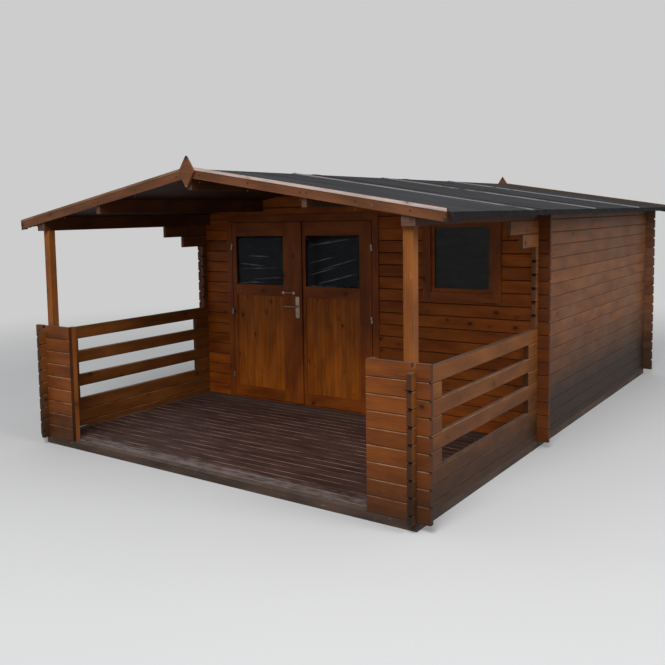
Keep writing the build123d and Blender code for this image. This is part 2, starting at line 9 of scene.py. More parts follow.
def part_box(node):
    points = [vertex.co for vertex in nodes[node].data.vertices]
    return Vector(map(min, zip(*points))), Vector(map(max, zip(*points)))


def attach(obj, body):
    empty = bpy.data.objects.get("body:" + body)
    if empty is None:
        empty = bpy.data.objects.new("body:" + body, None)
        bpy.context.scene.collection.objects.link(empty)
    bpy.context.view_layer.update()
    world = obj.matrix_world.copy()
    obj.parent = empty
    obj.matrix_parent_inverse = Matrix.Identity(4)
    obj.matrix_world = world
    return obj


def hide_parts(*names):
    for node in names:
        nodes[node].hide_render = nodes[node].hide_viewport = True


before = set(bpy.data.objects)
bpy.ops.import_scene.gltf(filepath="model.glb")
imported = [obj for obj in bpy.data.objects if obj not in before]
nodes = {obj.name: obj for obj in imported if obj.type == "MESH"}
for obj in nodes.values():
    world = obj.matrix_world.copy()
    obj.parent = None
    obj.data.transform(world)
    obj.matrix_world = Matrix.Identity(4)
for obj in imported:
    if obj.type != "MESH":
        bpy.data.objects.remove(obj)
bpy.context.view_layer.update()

# Sizes in metres, as the frame has them.
# Walls: height of a log, the lowest joint, and where the walls stand
course = 0.112
first_joint = 0.060
wall_y = -0.875
front_y = -3.081
back_y = 2.925
half_w = 1.825
# Doors: front of the leaves, hinge lines, underside of the frame's head; width of a panel board or roof board
leaf_y = -0.889
hinge_x = (-1.4125, 0.2785)
frame_head_z = 1.9335
board_w = 0.096
# Roof: slope, eaves, underside of its boards over the side walls, thicknesses, the felt's laps from the front
slope_angle = math.radians(10)
slope = math.tan(slope_angle)
eave_x = 2.060
roof_foot_z = 2.008
roof_board_t = 0.018
barge_t = 0.018
felt_t = 0.0035
felt_laps = (1.38, 2.96, 4.54)
roof_y0, roof_y1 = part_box("right_roof_boards")[0].y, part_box("right_roof_boards")[1].y
# Floors
deck_low, deck_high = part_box("deck_boards")
floor_low, floor_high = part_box("cabin_floor")
deck_count = 22
deck_pitch = (deck_high.y - deck_low.y) / deck_count
floor_count = 38
floor_pitch = (floor_high.y - floor_low.y) / floor_count

sides = ((-1, "left"), (1, "right"))
# Both ends of the roof, with the face of the barge boards and the way it looks
verges = (("front", roof_y0 - barge_t, -1), ("back", roof_y1 + barge_t, 1))

# Node settings that come up often
smooth = {"interpolation_type": "SMOOTHSTEP"}
rgba = {"data_type": "RGBA"}
multiply = {"operation": "MULTIPLY"}
multiply_add = {"operation": "MULTIPLY_ADD"}
subtract = {"operation": "SUBTRACT"}
absolute = {"operation": "ABSOLUTE"}
compare = {"operation": "COMPARE"}
greater = {"operation": "GREATER_THAN"}
maximum = {"operation": "MAXIMUM"}
# Side of a pattern cell that is longer than the shed
endless = 40


def under(x):
    """Height of the underside of the roof boards."""
    return roof_foot_z + (half_w - abs(x)) * slope


def over(x, thick):
    """Height of the top of a layer on the roof, thick being all that lies over the underside."""
    return under(x) + thick / math.cos(slope_angle)


def colour(text):
    """An sRGB hex colour as linear numbers."""
    parts = [int(text[i:i + 2], 16) / 255 for i in (0, 2, 4)]
    return [c / 12.92 if c <= 0.04045 else ((c + 0.055) / 1.055) ** 2.4 for c in parts] + [1.0]


def add(tree, kind, settings=None, inputs=None, output=0):
    """Adds one node with its settings and what goes into it, and gives back one of its outputs."""
    made = tree.nodes.new(kind)
    for name, value in (settings or {}).items():
        setattr(made, name, value)
    for name, value in (inputs or {}).items():
        if isinstance(value, bpy.types.NodeSocket):
            tree.links.new(value, made.inputs[name])
        else:
            made.inputs[name].default_value = value
    return made.outputs[output]


def start(name, **surface):
    """A material with its node tree, its shader and the place on the object. Plain numbers sit on the shader's
    own sockets."""
    made = bpy.data.materials.new(name)
    made.use_nodes = True
    tree = made.node_tree
    shader = tree.nodes["Principled BSDF"]
    for socket, value in surface.items():
        shader.inputs[socket.replace("_", " ")].default_value = value
    return made, tree, shader, add(tree, "ShaderNodeTexCoord", None, None, "Object")


def plug(tree, shader, **outputs):
    """Joins outputs to the shader's sockets."""
    for socket, output in outputs.items():
        tree.links.new(output, shader.inputs[socket.replace("_", " ")])


def along_grain(tree, place, order):
    """A place turned so that X runs with the grain, Y across it and Z into the timber."""
    parts = add(tree, "ShaderNodeSeparateXYZ", None, {0: place}).node.outputs
    return add(tree, "ShaderNodeCombineXYZ", None, {
        i: parts["XYZ".index(axis)] for i, axis in enumerate(order)})


def own_seed(tree, place, cell):
    """A random colour for each cell of this size, so that no two logs or boards are alike."""
    corner = add(tree, "ShaderNodeVectorMath", {"operation": "SNAP"}, {0: place, 1: cell})
    return add(tree, "ShaderNodeTexWhiteNoise", {"noise_dimensions": "3D"}, {0: corner}, "Color")


def planed_spruce(tree, grain, seed, light, dark, knot, knots=0.5, shades=None):
    """Colour, relief and fibre of stained, planed spruce. grain is in metres, X with the grain; seed is a
    colour that differs from board to board, or None; knots is the share of pattern cells with a knot in them;
    shades are the brightness of the darkest and of the palest board."""
    if seed:
        # each board shows another part of the pattern
        grain = add(tree, "ShaderNodeVectorMath", multiply_add, {0: seed, 1: (37, 3, 5), 2: grain})
    # knots up to 40 mm across in cells of 200 by 150 mm, right through the timber
    cells = add(tree, "ShaderNodeTexVoronoi", {"voronoi_dimensions": "2D"}, {
        "Vector": add(tree, "ShaderNodeMapping", None, {0: grain, "Scale": (1 / 0.20, 1 / 0.15, 1)}),
        "Scale": 1.0})
    size = add(tree, "ShaderNodeMapRange", None, {
        0: add(tree, "ShaderNodeSeparateColor", None, {0: cells.node.outputs["Color"]}),
        1: 1.0 - knots, 2: 1.0, 3: -0.20, 4: 0.12})
    inside = add(tree, "ShaderNodeMath", subtract, {0: size, 1: cells})
    core = add(tree, "ShaderNodeMapRange", smooth, {0: inside, 1: -0.01, 2: 0.04})
    ring = add(tree, "ShaderNodeMapRange", smooth, {0: inside, 1: -0.20, 2: 0.02})
    # growth bands 14 mm apart, in long flames that swing round the knots
    swung = add(tree, "ShaderNodeVectorMath", multiply_add, {0: ring, 1: (0, 0.02, 0), 2: grain})
    bands = add(tree, "ShaderNodeTexWave", {"bands_direction": "Y"}, {
        "Vector": add(tree, "ShaderNodeMapping", None, {0: swung, "Scale": (0.07, 1, 0.4)}),
        "Scale": 22.0, "Distortion": 11.0, "Detail": 2.0, "Detail Scale": 0.22, "Detail Roughness": 0.5}, 1)
    # fibres 6 mm apart, coarser than real ones, so that they show
    fibres = add(tree, "ShaderNodeTexNoise", None, {
        "Vector": add(tree, "ShaderNodeMapping", None, {0: grain, "Scale": (6, 165, 165)}),
        "Scale": 1.0, "Detail": 4.0, "Roughness": 0.62})
    blotch = add(tree, "ShaderNodeTexNoise", None, {
        "Vector": add(tree, "ShaderNodeMapping", None, {0: grain, "Scale": (2.6, 9, 3)}),
        "Scale": 1.0, "Detail": 3.0})
    tone = add(tree, "ShaderNodeMath", multiply_add, {0: bands, 1: 0.09, 2: add(
        tree, "ShaderNodeMath", multiply_add, {0: fibres, 1: 0.36, 2: add(
            tree, "ShaderNodeMath", multiply, {0: blotch, 1: 0.75})})})
    wood = add(tree, "ShaderNodeMix", rgba, {
        0: add(tree, "ShaderNodeMapRange", smooth, {0: tone, 1: 0.36, 2: 0.84}),
        6: colour(dark), 7: colour(light)}, 2)
    # drying cracks 1 to 2 mm wide along the grain
    split = add(tree, "ShaderNodeTexNoise", None, {
        "Vector": add(tree, "ShaderNodeMapping", None, {0: grain, "Scale": (1.7, 46, 1)}),
        "Scale": 1.0, "Detail": 1.0})
    crack = add(tree, "ShaderNodeMapRange", smooth, {0: split, 1: 0.72, 2: 0.76})
    for mask, much in ((ring, 0.30), (core, 0.85), (crack, 0.45)):
        wood = add(tree, "ShaderNodeMix", rgba, {
            0: add(tree, "ShaderNodeMath", multiply, {0: mask, 1: much}), 6: wood, 7: colour(knot)}, 2)
    if shades:
        wood = add(tree, "ShaderNodeVectorMath", {"operation": "SCALE"}, {0: wood, "Scale": add(
            tree, "ShaderNodeMapRange", None, {0: seed.node.outputs["Value"], 3: shades[0], 4: shades[1]})})
    relief = add(tree, "ShaderNodeMath", multiply_add, {0: fibres, 1: 0.5, 2: add(
        tree, "ShaderNodeMath", multiply, {0: crack, 1: -1.0})})
    return wood, relief, fibres


def finish(tree, shader, wood, layers, relief, rough):
    """Lays each layer, a mask and its colour, over the wood in turn, then joins all to the shader."""
    for mask, shade in layers:
        wood = add(tree, "ShaderNodeMix", rgba, {
            0: mask, 6: wood, 7: colour(shade) if isinstance(shade, str) else shade}, 2)
    bump = add(tree, "ShaderNodeBump", None, {"Strength": 0.5, "Distance": 0.0012, "Height": relief})
    plug(tree, shader, Base_Color=wood, Roughness=rough, Normal=bump)


def stained_logs(name, along, light, dark, knot, end_light, end_dark, foot=0.0, foot_top=0.30, grey=0.0,
                 beyond=0.0, pale=0.3):
    """Stacked logs along X or Y: each has a shade of its own, the joints hold dirt and painted shade, the side
    of each V that faces down has painted shade and the side that faces up a painted highlight, and the tops are
    bleached. foot is how dirty the lowest logs are, up to foot_top; grey is how far the stain has thinned
    outside the porch; beyond darkens the log ends that stand out past the side walls; pale is how strong the
    painted highlight on the upper edge of each log is."""
    made, tree, shader, place = start(name, Specular_IOR_Level=0.2)
    way = add(tree, "ShaderNodeSeparateXYZ", None, {0: place.node.outputs["Normal"]}).node.outputs
    spot = add(tree, "ShaderNodeSeparateXYZ", None, {0: place}).node.outputs
    axis = "XY".index(along)
    low_joint = first_joint + axis * course / 2
    # one cell for each log: by course, and by the wall that it lies in; walls are over 1.3 m apart
    from_joint = add(tree, "ShaderNodeVectorMath", subtract, {0: place, 1: (0, wall_y, low_joint)})
    seed = own_seed(tree, from_joint, ((endless, 1.3, course), (1, endless, course))[axis])
    grain = along_grain(tree, place, ("XZY", "YZX")[axis])
    wood, relief, fibres = planed_spruce(tree, grain, seed, light, dark, knot, shades=(0.84, 1.14))
    # dirt and shadow in the V joints
    gap = add(tree, "ShaderNodeMath", {"operation": "PINGPONG"}, {
        0: add(tree, "ShaderNodeMath", subtract, {0: spot[2], 1: low_joint}), 1: course / 2})
    joint = add(tree, "ShaderNodeMapRange", smooth, {0: gap, 1: 0.001, 2: 0.005, 3: 1, 4: 0})
    joint_dirt_and_shade = add(tree, "ShaderNodeMath", multiply, {0: joint, 1: 0.70})
    # painted shade on the side of a V that faces down, a painted highlight in patches on the side that faces up
    painted_shade_side = add(tree, "ShaderNodeMapRange", smooth, {0: way[2], 1: -0.4, 2: -0.2, 3: 0.80, 4: 0})
    highlight_breakup = add(tree, "ShaderNodeTexNoise", None, {"Vector": place, "Scale": 7.0, "Detail": 4.0})
    painted_highlight_side = add(tree, "ShaderNodeMath", multiply, {
        0: add(tree, "ShaderNodeMath", compare, {0: way[2], 1: 0.55, 2: 0.30}),
        1: add(tree, "ShaderNodeMapRange", None, {0: highlight_breakup, 1: 0.35, 2: 0.65, 3: 0.2 * pale, 4: 1.4 * pale})})
    # sawn ends, mottled in patches 11 mm across, coarser than real ones, so that they show
    mottle = add(tree, "ShaderNodeTexNoise", None, {"Vector": place, "Scale": 90.0, "Detail": 3.0})
    end_wood = add(tree, "ShaderNodeMix", rgba, {0: mottle, 6: colour(end_dark), 7: colour(end_light)}, 2)
    endways = add(tree, "ShaderNodeMath", absolute, {0: way[axis]})
    end = add(tree, "ShaderNodeMapRange", smooth, {0: endways, 1: 0.45, 2: 0.6, 4: 0.8})
    # painted shade: the deep V cuts in the ends are drawn near black
    painted_shade_v_cut = add(tree, "ShaderNodeMath", multiply, {
        0: add(tree, "ShaderNodeMath", compare, {0: endways, 1: 0.62, 2: 0.30}), 1: 0.85})
    layers = [(joint_dirt_and_shade, "2A140A"), (painted_shade_side, "200E06"), (painted_highlight_side, "B98E6C"), (end, end_wood),
              (painted_shade_v_cut, "150904")]
    if beyond:
        past = add(tree, "ShaderNodeMath", greater, {
            0: add(tree, "ShaderNodeMath", absolute, {0: spot[0]}), 1: half_w - 0.004})
        layers.append((add(tree, "ShaderNodeMath", multiply, {0: past, 1: beyond}), "3A1C0E"))
    # tops bleached by rain
    layers.append((add(tree, "ShaderNodeMapRange", smooth, {0: way[2], 1: 0.8, 2: 0.95, 4: 0.7}), "6B5A50"))
    if grey:
        # patches where the stain has thinned and the wood has greyed, not under the porch roof
        patch = add(tree, "ShaderNodeTexNoise", None, {"Vector": place, "Scale": 1.7, "Detail": 4.0})
        greyed = add(tree, "ShaderNodeMath", multiply, {
            0: add(tree, "ShaderNodeMapRange", smooth, {0: patch, 1: 0.42, 2: 0.66, 4: grey}),
            1: add(tree, "ShaderNodeMath", greater, {0: spot[1], 1: wall_y})})
        layers.append((greyed, "7C6450"))
    if foot:
        # splashed dirt and green film on the outer face of the lowest logs
        splash = add(tree, "ShaderNodeTexNoise", None, {"Vector": place, "Scale": 5.5, "Detail": 5.0})
        outside = add(tree, "ShaderNodeMath", maximum, {
            i: add(tree, "ShaderNodeMath", greater, {
                0: add(tree, "ShaderNodeMath", absolute, {0: spot[i]}), 1: edge - 0.012})
            for i, edge in enumerate((half_w, back_y))})
        low = add(tree, "ShaderNodeMapRange", smooth, {
            0: add(tree, "ShaderNodeMath", multiply_add, {0: splash, 1: -0.38, 2: spot[2]}),
            1: 0.5 * foot_top - 0.35, 2: foot_top, 3: foot, 4: 0.0})
        layers.append((add(tree, "ShaderNodeMath", multiply, {0: low, 1: outside}), "17120D"))
    relief = add(tree, "ShaderNodeMath", multiply_add, {0: joint, 1: -1.6, 2: relief})
    rough = add(tree, "ShaderNodeMath", multiply_add, {0: fibres, 1: 0.24, 2: 0.48})
    finish(tree, shader, wood, layers, relief, rough)
    return made


def stained_boards(name, order, light, dark, knot, pitch=0.0, origin=0.0, rails=(), seam=0.0, scuff=0.0,
                   sloped=False, sheen=0.46, knots=0.5, bleach=0.0, ends=0.0, rot=0.0):
    """Planed boards and posts with the grain along the first axis of order. With a pitch, each board has a
    shade of its own. rails are X ranges in which the grain lies level, as on the rails of a door leaf. scuff,
    bleach and ends are how pale the rubbed spots, the tops and the sawn ends are; rot is how far out the board
    starts to go black; sheen is the least roughness."""
    made, tree, shader, place = start(name, Specular_IOR_Level=0.2)
    way = add(tree, "ShaderNodeSeparateXYZ", None, {0: place.node.outputs["Normal"]}).node.outputs
    if sloped:
        # boards that follow the roof, seen level
        parts = add(tree, "ShaderNodeSeparateXYZ", None, {0: place}).node.outputs
        fall = add(tree, "ShaderNodeMath", absolute, {0: parts[0]})
        place = add(tree, "ShaderNodeCombineXYZ", None, {0: parts[0], 1: parts[1], 2: add(
            tree, "ShaderNodeMath", multiply_add, {0: fall, 1: slope, 2: parts[2]})})
    grain = along_grain(tree, place, order)
    if rails:
        parts = add(tree, "ShaderNodeSeparateXYZ", None, {0: place}).node.outputs
        level = add(tree, "ShaderNodeMath", greater, {0: parts[2], 1: frame_head_z})
        for low, high in rails:
            level = add(tree, "ShaderNodeMath", maximum, {0: level, 1: add(
                tree, "ShaderNodeMath", compare, {0: parts[0], 1: (low + high) / 2, 2: (high - low) / 2})})
        grain = add(tree, "ShaderNodeMix", {"data_type": "VECTOR"}, {
            0: level, 4: grain, 5: along_grain(tree, place, "XZY")}, 1)
    seed = None
    if pitch:
        moved = add(tree, "ShaderNodeVectorMath", subtract, {0: grain, 1: (0, origin, 0)})
        seed = own_seed(tree, moved, (endless, pitch, endless))
    wood, relief, fibres = planed_spruce(tree, grain, seed, light, dark, knot, knots,
                                         shades=(0.88, 1.10) if pitch else None)
    layers = []
    if seam:
        gap = add(tree, "ShaderNodeMath", {"operation": "PINGPONG"}, {
            0: add(tree, "ShaderNodeSeparateXYZ", None, {0: moved}, 1), 1: pitch / 2})
        layers.append((add(tree, "ShaderNodeMapRange", smooth, {
            0: gap, 1: seam, 2: 2.6 * seam, 3: 0.5, 4: 0}), "1C0E08"))
    if scuff:
        # spots rubbed down to pale wood
        rub = add(tree, "ShaderNodeTexNoise", None, {
            "Vector": add(tree, "ShaderNodeMapping", None, {0: grain, "Scale": (9, 30, 30)}),
            "Scale": 1.0, "Detail": 5.0, "Roughness": 0.7})
        layers.append((add(tree, "ShaderNodeMapRange", smooth, {0: rub, 1: 0.62, 2: 0.72, 4: scuff}), "B9A48E"))
    if rot:
        # black, soft wood in the lowest end of a barge board
        out = add(tree, "ShaderNodeMath", absolute, {0: add(tree, "ShaderNodeSeparateXYZ", None, {0: place})})
        eaten = add(tree, "ShaderNodeTexNoise", None, {"Vector": place, "Scale": 34.0, "Detail": 4.0})
        layers.append((add(tree, "ShaderNodeMapRange", smooth, {
            0: add(tree, "ShaderNodeMath", multiply_add, {0: eaten, 1: 0.16, 2: out}),
            1: rot + 0.08, 2: rot + 0.14, 4: 0.85}), "1A0F0A"))
    for weathered, axis, shade in ((bleach, 2, "7E7268"), (ends, "XYZ".index(order[0]), "6E655E")):
        if weathered:
            # rain and sun have taken the stain off, in patches
            faded = add(tree, "ShaderNodeTexNoise", None, {
                "Vector": place, "Scale": 11.0, "Detail": 5.0, "Roughness": 0.65})
            facing = add(tree, "ShaderNodeMapRange", None, {
                0: add(tree, "ShaderNodeMath", absolute, {0: way[axis]}), 1: 0.7, 2: 0.9, 4: weathered})
            layers.append((add(tree, "ShaderNodeMath", multiply, {0: facing, 1: add(
                tree, "ShaderNodeMapRange", None, {0: faded, 1: 0.35, 2: 0.60, 3: 0.25, 4: 1.0})}), shade))
    rough = add(tree, "ShaderNodeMath", multiply_add, {0: fibres, 1: 0.26, 2: sheen})
    finish(tree, shader, wood, layers, relief, rough)
    return made


def trodden_deck(name):
    """Dark brown decking: greyed and scratched towards the step, each worn board edge pale."""
    made, tree, shader, place = start(name, Specular_IOR_Level=0.2)
    spot = add(tree, "ShaderNodeSeparateXYZ", None, {0: place}).node.outputs
    moved = add(tree, "ShaderNodeVectorMath", subtract, {0: place, 1: (0, deck_low.y, 0)})
    seed = own_seed(tree, moved, (endless, deck_pitch, endless))
    wood, relief, fibres = planed_spruce(tree, place, seed, "503730", "2E1E1A", "180F0D", 0.3)
    gap = add(tree, "ShaderNodeMath", {"operation": "PINGPONG"}, {
        0: add(tree, "ShaderNodeSeparateXYZ", None, {0: moved}, 1), 1: deck_pitch / 2})
    rub = add(tree, "ShaderNodeTexNoise", None, {
        "Vector": add(tree, "ShaderNodeMapping", None, {0: place, "Scale": (3, 14, 14)}),
        "Scale": 1.0, "Detail": 5.0, "Roughness": 0.65})
    edge = add(tree, "ShaderNodeMath", multiply, {
        0: add(tree, "ShaderNodeMapRange", smooth, {0: gap, 1: 0.003, 2: 0.009, 3: 0.55, 4: 0}),
        1: add(tree, "ShaderNodeMapRange", smooth, {0: rub, 1: 0.40, 2: 0.62})})
    # grey tread along the step, broken up
    tread = add(tree, "ShaderNodeTexNoise", None, {
        "Vector": add(tree, "ShaderNodeMapping", None, {0: place, "Scale": (7, 16, 16)}),
        "Scale": 1.0, "Detail": 6.0, "Roughness": 0.7})
    step = add(tree, "ShaderNodeMapRange", smooth, {
        0: spot[1], 1: front_y + 0.03, 2: front_y + 0.55, 3: 0.54, 4: 0})
    worn = add(tree, "ShaderNodeMapRange", smooth, {
        0: add(tree, "ShaderNodeMath", multiply_add, {0: tread, 1: 0.8, 2: step}), 1: 0.72, 2: 1.02, 4: 0.75})
    # dust in front of the doors
    dust = add(tree, "ShaderNodeMapRange", smooth, {0: spot[1], 1: wall_y - 0.45, 2: wall_y, 4: 0.35})
    rough = add(tree, "ShaderNodeMath", multiply_add, {0: fibres, 1: 0.35, 2: 0.42})
    finish(tree, shader, wood, [(edge, "9A8274"), (worn, "7E7470"), (dust, "5E5650")], relief, rough)
    return made


def roofing_felt(name):
    """Bitumen felt with slate grit: matt, near black, streaked down the slope by rain."""
    made, tree, shader, place = start(name, Roughness=0.93, Specular_IOR_Level=0.12)
    # slate grit, 1 mm in truth, drawn 6 mm across so that it shows
    grit = add(tree, "ShaderNodeTexNoise", None, {"Vector": place, "Scale": 160.0, "Detail": 2.0})
    streak = add(tree, "ShaderNodeTexNoise", None, {
        "Vector": add(tree, "ShaderNodeMapping", None, {0: place, "Scale": (0.9, 9.0, 0.9)}),
        "Scale": 1.0, "Detail": 5.0, "Roughness": 0.6})
    tone = add(tree, "ShaderNodeMath", multiply_add, {0: grit, 1: 0.5, 2: add(
        tree, "ShaderNodeMath", multiply, {0: streak, 1: 0.6})})
    grey = add(tree, "ShaderNodeMix", rgba, {
        0: add(tree, "ShaderNodeMapRange", smooth, {0: tone, 1: 0.42, 2: 0.70}),
        6: colour("19191A"), 7: colour("3E3E42")}, 2)
    # the turned-down edge has lost its grit
    way = add(tree, "ShaderNodeSeparateXYZ", None, {0: place.node.outputs["Normal"]}).node.outputs
    edge = add(tree, "ShaderNodeMapRange", None, {
        0: add(tree, "ShaderNodeMath", absolute, {0: way[0]}), 1: 0.5, 2: 0.8, 4: 0.8})
    plug(tree, shader,
         Base_Color=add(tree, "ShaderNodeMix", rgba, {0: edge, 6: grey, 7: colour("131315")}, 2),
         Normal=add(tree, "ShaderNodeBump", None, {"Strength": 0.6, "Distance": 0.002, "Height": tone}))
    return made


def rubbed_lap(name):
    """Edge of a felt strip: grit and bitumen rubbed off in lengths, down to the pale fleece."""
    made, tree, shader, place = start(name, Roughness=0.9, Specular_IOR_Level=0.2)
    # bare lengths of 100 to 400 mm, with a ragged border
    bare = add(tree, "ShaderNodeTexNoise", None, {
        "Vector": add(tree, "ShaderNodeMapping", None, {0: place, "Scale": (5.0, 30.0, 5.0)}),
        "Scale": 1.0, "Detail": 5.0})
    # the lip is bare, the flat part behind it only thinly
    way = add(tree, "ShaderNodeSeparateXYZ", None, {0: place.node.outputs["Normal"]}).node.outputs
    lip = add(tree, "ShaderNodeMapRange", None, {0: way[1], 1: -0.3, 2: -0.7, 3: 0.22, 4: 1.0})
    worn = add(tree, "ShaderNodeMapRange", smooth, {0: bare, 1: 0.26, 2: 0.46})
    plug(tree, shader,
         Base_Color=add(tree, "ShaderNodeMix", rgba, {
             0: add(tree, "ShaderNodeMath", multiply, {0: worn, 1: lip}),
             6: colour("2C2C30"), 7: colour("8B8886")}, 2),
         Normal=add(tree, "ShaderNodeBump", None, {"Strength": 0.5, "Distance": 0.002, "Height": bare}))
    return made


def plated(name, light, dark, rough):
    """Plated steel: cloudy plating with fine scratches, so highlights break up."""
    made, tree, shader, place = start(name, Metallic=1.0)
    cloud = add(tree, "ShaderNodeTexNoise", None, {"Vector": place, "Scale": 38.0, "Detail": 4.0})
    # brushing marks 1 mm apart
    scratch = add(tree, "ShaderNodeTexNoise", None, {
        "Vector": add(tree, "ShaderNodeMapping", None, {0: place, "Scale": (900, 900, 90)}),
        "Scale": 1.0, "Detail": 2.0})
    plug(tree, shader,
         Base_Color=add(tree, "ShaderNodeMix", rgba, {0: cloud, 6: colour(dark), 7: colour(light)}, 2),
         Roughness=add(tree, "ShaderNodeMath", multiply_add, {0: scratch, 1: 0.14, 2: rough}))
    return made


# Finishes
# Spruce logs, planed and brushed with orange-brown stain: satin, warm, darker in the joints
pier_logs = stained_logs("stained_spruce_logs_pier", "X", "804517", "5A2B0C", "2A1208", "4E2B17", "2C170B",
                         foot=0.7, foot_top=0.34, beyond=0.30, pale=0.38)
back_logs = stained_logs("stained_spruce_logs_back", "X", "7A5036", "583624", "301E14", "553622", "352012",
                         foot=0.7, foot_top=0.6, grey=0.3)
side_logs = stained_logs("stained_spruce_logs_side", "Y", "7E4C26", "593318", "2C180E", "74492F", "4E2E1D",
                         foot=0.9, foot_top=0.85, grey=0.20, pale=0.15)
# The balustrades, handled more and rained on less: warmer, with a wet foot
rail_logs = stained_logs("stained_spruce_logs_balustrade", "Y", "7E491D", "5A310F", "2A160B", "42261A",
                         "22120A", foot=0.75, foot_top=0.55, pale=0.25)
# Same stain where sun and rain never reach it: deeper, more orange, and painted paler to make up for the roof's
# shade
porch_logs = stained_logs("stained_spruce_logs_porch", "X", "AC5A15", "7A360A", "321407", "6A3818", "40200E",
                          beyond=0.70, pale=0.08)
# Pine joinery in a red-brown stain with a slight gloss: upright grain on the stiles, level grain on the rails
pane_rails = ((-1.358, -0.747), (-0.473, 0.145), (0.872, 1.442))
joinery = stained_boards("stained_pine_joinery", "ZXY", "984E16", "6A2F09", "2E1206",
                         rails=pane_rails, sheen=0.36)
# Tongued boards of the lower panels, in a thinner yellow-brown stain that lets grain and knots show
left_panel, right_panel = (
    stained_boards(f"stained_pine_door_boards_{word}", "ZXY", "BA6517", "88430C", "2A0F05", pitch=board_w,
                   origin=middle, seam=0.0014, sheen=0.38, knots=1.0)
    for word, middle in (("left", -1.0525), ("right", -0.164)))
# Porch posts: square pine, the stain rubbed through in spots
posts = stained_boards("stained_pine_posts", "ZXY", "8E5322", "693914", "301609", scuff=0.4)
# Beams and purlins under the roof: dark stain, drawn darker still as painted shade, and pale sawn ends
beams = stained_boards("stained_spruce_beams", "YXZ", "5E3316", "3A1C0A", "1C0D06", ends=0.3)
# Roof boarding seen from below, each board down the slope: in shade, so nearly black
roof_boards = stained_boards("stained_spruce_roof_boards", "XYZ", "381B0C", "200D05", "110603",
                             pitch=board_w, origin=roof_y0, seam=0.003)
# Barge boards and diamonds: brown stain faded by rain, rubbed at the edges
trim = stained_boards("stained_spruce_barge_boards", "XZY", "70452A", "502E1A", "26140C",
                      scuff=0.3, sloped=True, rot=1.985)
# Ground frame of sawn timber: rough, dark with damp, bleached on top
sills = stained_boards("damp_sawn_sills", "XZY", "544339", "332822", "1C1512",
                       scuff=0.35, sheen=0.6, bleach=0.28)
# Cabin floor of bare spruce boards, dull and dusty
cabin_boards = stained_boards("dusty_spruce_floor", "XYZ", "8C7458", "66523C", "3A2C20",
                              pitch=floor_pitch, origin=floor_low.y, sheen=0.6)
# Thin wooden strips along the roof edge: still brown on the left, bleached almost white on the weather side
brown_edge = stained_boards("weathered_spruce_edge_strip", "XZY", "85654E", "5F4431", "33221A",
                            sloped=True, sheen=0.6)
white_edge = stained_boards("bleached_spruce_edge_strip", "XZY", "D2BDB2", "A08E86", "5E5048",
                            sloped=True, sheen=0.6)

deck = trodden_deck("worn_decking")
felt = roofing_felt("slated_roofing_felt")
worn_lap = rubbed_lap("rubbed_felt_lap")
# Handle, plate and bolt: satin nickel with a warm cast
nickel = plated("satin_nickel", "D2BCAE", "A08A7E", 0.26)
# Hinges: dull zinc with a crystal cloud
zinc = plated("galvanised_steel", "A9A6A4", "74716F", 0.42)

# Nail heads: wire nails rusted dark brown, rough, with crust in patches 2.5 mm across
rusty_nail, tree, shader, place = start("rusted_wire_nail", Metallic=0.6)
crust = add(tree, "ShaderNodeTexNoise", None, {"Vector": place, "Scale": 400.0, "Detail": 3.0})
plug(tree, shader,
     Base_Color=add(tree, "ShaderNodeMix", rgba, {0: crust, 6: colour("1E1512"), 7: colour("4A3226")}, 2),
     Roughness=add(tree, "ShaderNodeMath", multiply_add, {0: crust, 1: 0.2, 2: 0.6}))

# Float glass, 4 mm: clear and smooth, with a thin film of dust. Its index is low, so that in the pale studio the
# panes look as dark as they do outdoors; the window mirrors a little more than the door panes
panes = []
for name, index in (("float_glass_doors", 1.12), ("float_glass_window", 1.22)):
    glass, tree, shader, place = start(name, IOR=index, Transmission_Weight=1.0, Roughness=0.0)
    dust = add(tree, "ShaderNodeTexNoise", None, {"Vector": place, "Scale": 4.0, "Detail": 3.0})
    plug(tree, shader,
         Base_Color=add(tree, "ShaderNodeMix", rgba, {0: dust, 6: colour("D4DADC"), 7: colour("F0F4F4")}, 2))
    panes.append(glass)

# Black polythene sheeting: soft, creased, with a blue cast and a dull shine; it turns pale where it is folded
sheeting, tree, shader, place = start("creased_black_polythene", IOR=1.5, Specular_IOR_Level=0.12)
cloud = add(tree, "ShaderNodeTexNoise", None, {"Vector": place, "Scale": 12.0, "Detail": 4.0})
film = add(tree, "ShaderNodeMix", rgba, {0: cloud, 6: colour("0C0E14"), 7: colour("15171F")}, 2)
# pale folds: partly the milky whitening of stretched film, partly a painted highlight where the creases catch
# light
fold_highlight_and_whitening = add(tree, "ShaderNodeMath", multiply, {
    0: add(tree, "ShaderNodeAttribute", {"attribute_name": "fold"}, None, "Fac"),
    1: add(tree, "ShaderNodeMapRange", None, {0: cloud, 1: 0.35, 2: 0.6, 3: 0.35, 4: 1.0})})
plug(tree, shader,
     Base_Color=add(tree, "ShaderNodeMix", rgba, {0: fold_highlight_and_whitening, 6: film, 7: colour("8E93A2")}, 2),
     Roughness=add(tree, "ShaderNodeMapRange", None, {0: cloud, 1: 0.2, 2: 0.8, 3: 0.30, 4: 0.42}))

